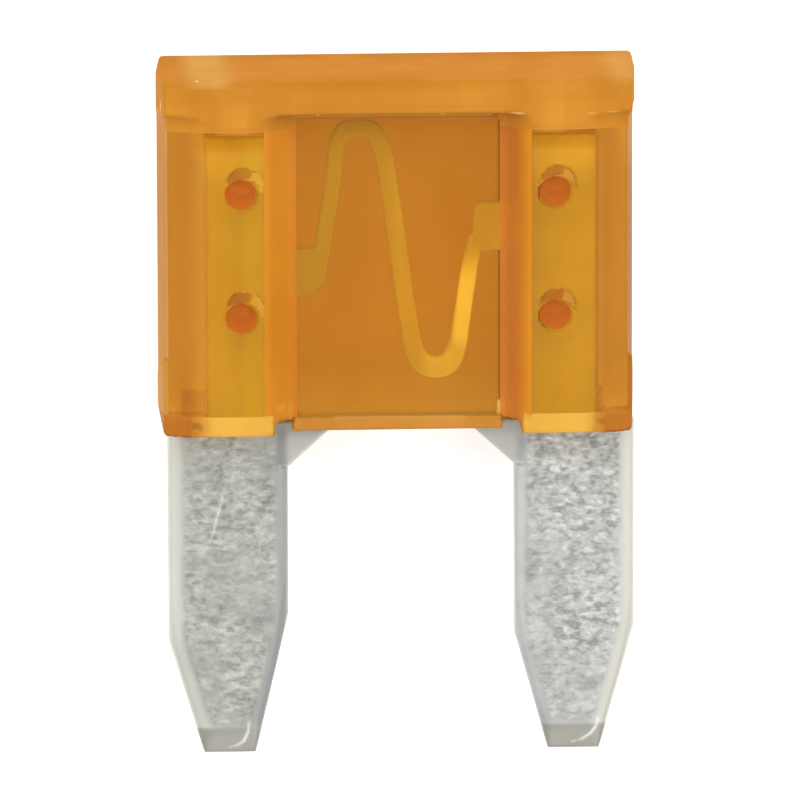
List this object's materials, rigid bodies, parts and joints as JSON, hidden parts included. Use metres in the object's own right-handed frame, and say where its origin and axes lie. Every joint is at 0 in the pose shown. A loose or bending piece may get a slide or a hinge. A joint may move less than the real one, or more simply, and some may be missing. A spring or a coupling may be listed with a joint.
{
  "type": "automotive blade fuse",
  "caption": "Small plug-in blade fuse for vehicles: see-through amber plastic housing with a head band and ribs, and a stamped zinc element with a thin bent link between its two blades.",
  "frame": {"origin": "under the middle of the whole outline, on the plane of the back faces that the fuse lies on", "axes": "+X to the right seen from the front, +Y from the blades towards the head, +Z out of the front face; the fuse lies flat on its back"},
  "size_m": [0.0112, 0.0164, 0.0036],
  "materials": {
    "amber_plastic": "see-through amber nylon, moulded smooth, slightly hazy",
    "zinc": "matt grey zinc alloy, crinkled on the blades' flats, smooth on their coined edges"
  },
  "bodies": {
    "root": {"housing": "amber_plastic", "fuse_element": "zinc"}
  },
  "joints": []
}
